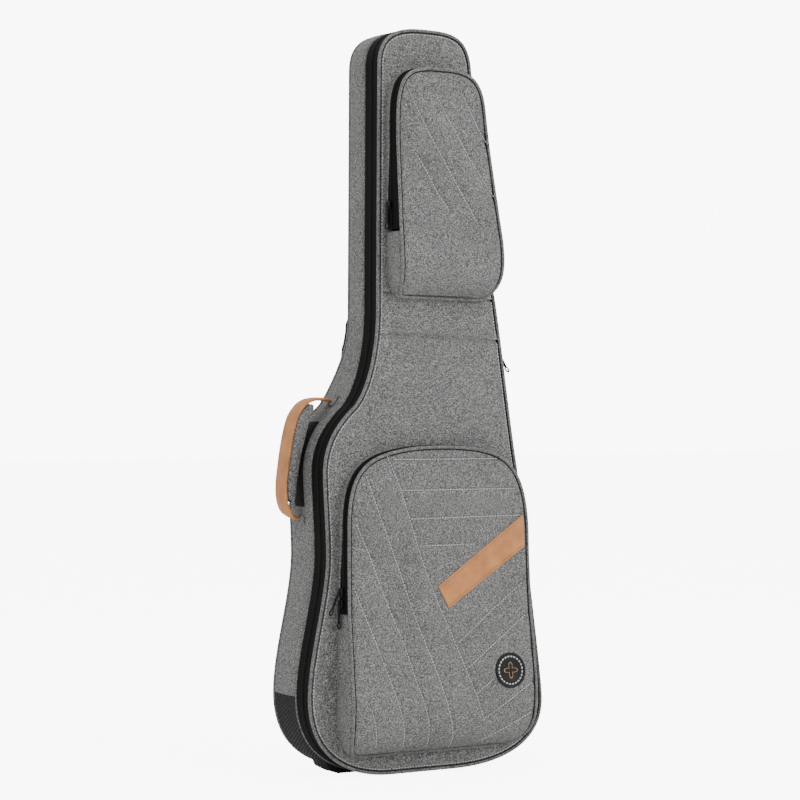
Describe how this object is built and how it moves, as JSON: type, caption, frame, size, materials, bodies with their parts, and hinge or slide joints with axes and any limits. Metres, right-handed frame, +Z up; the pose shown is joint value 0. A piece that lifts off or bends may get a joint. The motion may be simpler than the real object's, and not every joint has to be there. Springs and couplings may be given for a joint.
{
  "type": "padded gig bag",
  "caption": "Soft padded gig bag for an electric guitar, with a zipped front lid, two zipped front pockets, a side carry handle and padded back straps.",
  "frame": {"origin": "middle of the base skid's sole, where the bag stands", "axes": "+Z up along the neck, +X to the right seen from the front, -Y out of the front pockets"},
  "size_m": [0.3953, 0.1724, 1.043],
  "materials": {
    "melange_cloth": "matte",
    "zip_tape": "matte",
    "mesh_guard": "matte",
    "leather": "satin",
    "webbing": "matte",
    "lining": "matte",
    "strap_cloth": "matte",
    "rubber": "matte",
    "metal_trim": "satin",
    "plastic": "matte"
  },
  "bodies": {
    "shell": {"side_gusset": "melange_cloth", "bottom_guard": "mesh_guard", "base_skid": "rubber", "back_panel": "melange_cloth", "back_piping": "melange_cloth", "back_lining": "lining", "main_zip_rear_tape": "zip_tape", "hinge_strip": "webbing", "neck_rest": "lining", "bottom_bumper": "lining", "strap_yoke": "strap_cloth", "handle_backing": "webbing", "handle_tab_upper": "melange_cloth", "handle_tab_lower": "melange_cloth", "d_ring_left": "metal_trim", "d_ring_right": "metal_trim", "strap_left_anchor": "webbing", "strap_right_anchor": "webbing"},
    "lid": {"front_panel": "melange_cloth", "front_piping": "melange_cloth", "main_zip_front_tape_neck": "zip_tape", "main_zip_front_tape_body": "zip_tape", "lid_lining": "lining", "lower_pocket_gusset": "melange_cloth", "lower_pocket_zip_inner_tape": "zip_tape", "lower_pocket_piping": "melange_cloth", "lower_pocket_panel": "melange_cloth", "round_patch": "rubber", "upper_pocket_gusset": "melange_cloth", "upper_pocket_zip_inner_tape": "zip_tape", "upper_pocket_piping": "melange_cloth", "upper_pocket_panel": "melange_cloth"},
    "lower_flap": {"lower_pocket_zip_outer_tape": "zip_tape", "lower_pocket_flap_piping": "melange_cloth", "lower_pocket_flap": "melange_cloth", "leather_stripe": "leather"},
    "upper_flap": {"upper_pocket_zip_outer_tape": "zip_tape", "upper_pocket_flap_piping": "melange_cloth", "upper_pocket_flap": "melange_cloth"},
    "handle": {"handle_band": "leather", "handle_grip": "melange_cloth"},
    "strap_left": {"strap_left_pad": "strap_cloth", "strap_left_webbing": "webbing", "strap_left_adjuster": "plastic", "strap_left_hook": "metal_trim"},
    "strap_right": {"strap_right_pad": "strap_cloth", "strap_right_webbing": "webbing", "strap_right_adjuster": "plastic", "strap_right_hook": "metal_trim"},
    "main_zip_slider_upper": {"main_zip_slider_upper": "metal_trim"},
    "main_zip_pull_upper": {"main_zip_pull_upper": "metal_trim"},
    "main_zip_slider_lower": {"main_zip_slider_lower": "metal_trim"},
    "main_zip_pull_lower": {"main_zip_pull_lower": "metal_trim"},
    "lower_pocket_slider_upper": {"lower_pocket_slider_upper": "metal_trim"},
    "lower_pocket_pull_upper": {"lower_pocket_pull_upper": "metal_trim"},
    "lower_pocket_slider_lower": {"lower_pocket_slider_lower": "metal_trim"},
    "lower_pocket_pull_lower": {"lower_pocket_pull_lower": "metal_trim"},
    "upper_pocket_slider": {"upper_pocket_slider": "metal_trim"},
    "upper_pocket_pull": {"upper_pocket_pull": "metal_trim"}
  },
  "joints": [
    {"name": "lid_open", "type": "hinge", "parent": "shell", "child": "lid", "pos_m": [0, -0.047, 0], "axis": [1, 0, 0], "range_deg": [0, 170]},
    {"name": "lower_pocket_open", "type": "hinge", "parent": "lid", "child": "lower_flap", "pos_m": [0, -0.097, 0.229], "axis": [1, 0, 0], "range_deg": [0, 95]},
    {"name": "upper_pocket_open", "type": "hinge", "parent": "lid", "child": "upper_flap", "pos_m": [0, -0.106, 0.757], "axis": [1, 0, 0], "range_deg": [0, 95]},
    {"name": "handle_swing", "type": "hinge", "parent": "shell", "child": "handle", "pos_m": [-0.147, -0.001, 0.4385], "axis": [0.295, 0, 0.9555], "range_deg": [-12, 12]},
    {"name": "strap_left_lift", "type": "hinge", "parent": "shell", "child": "strap_left", "pos_m": [-0.0356, 0.031, 0.6558], "axis": [0.9885, 0, -0.1513], "range_deg": [0, 75]},
    {"name": "strap_right_lift", "type": "hinge", "parent": "shell", "child": "strap_right", "pos_m": [0.0356, 0.031, 0.6558], "axis": [0.9885, 0, 0.1513], "range_deg": [0, 75]},
    {"name": "main_zip_slide_upper", "type": "slide", "parent": "shell", "child": "main_zip_slider_upper", "axis": [-0.1336, 0, 0.991], "range_m": [0, 0.06]},
    {"name": "main_zip_pull_swing_upper", "type": "hinge", "parent": "main_zip_slider_upper", "child": "main_zip_pull_upper", "pos_m": [0.1297, -0.047, 0.59077], "axis": [0, -1, 0], "range_deg": [0, 100]},
    {"name": "main_zip_slide_lower", "type": "slide", "parent": "shell", "child": "main_zip_slider_lower", "axis": [0.1336, 0, -0.991], "range_m": [0, 0.05]},
    {"name": "main_zip_pull_swing_lower", "type": "hinge", "parent": "main_zip_slider_lower", "child": "main_zip_pull_lower", "pos_m": [0.13305, -0.047, 0.56768], "axis": [0, -1, 0], "range_deg": [0, 6]},
    {"name": "lower_pocket_slide_upper", "type": "slide", "parent": "lid", "child": "lower_pocket_slider_upper", "axis": [0, 0, 1], "range_m": [0, 0.09]},
    {"name": "lower_pocket_pull_swing_upper", "type": "hinge", "parent": "lower_pocket_slider_upper", "child": "lower_pocket_pull_upper", "pos_m": [-0.15325, -0.08, 0.258], "axis": [0, 1, 0], "range_deg": [0, 100]},
    {"name": "lower_pocket_slide_lower", "type": "slide", "parent": "lid", "child": "lower_pocket_slider_lower", "axis": [0, 0, -1], "range_m": [0, 0.007]},
    {"name": "lower_pocket_pull_swing_lower", "type": "hinge", "parent": "lower_pocket_slider_lower", "child": "lower_pocket_pull_lower", "pos_m": [-0.1526, -0.08, 0.242], "axis": [0, 1, 0], "range_deg": [0, 6]},
    {"name": "upper_pocket_slide", "type": "slide", "parent": "lid", "child": "upper_pocket_slider", "axis": [0, 0, 1], "range_m": [0, 0.11]},
    {"name": "upper_pocket_pull_swing", "type": "hinge", "parent": "upper_pocket_slider", "child": "upper_pocket_pull", "pos_m": [-0.0767, -0.08, 0.792], "axis": [0, 1, 0], "range_deg": [0, 100]}
  ]
}
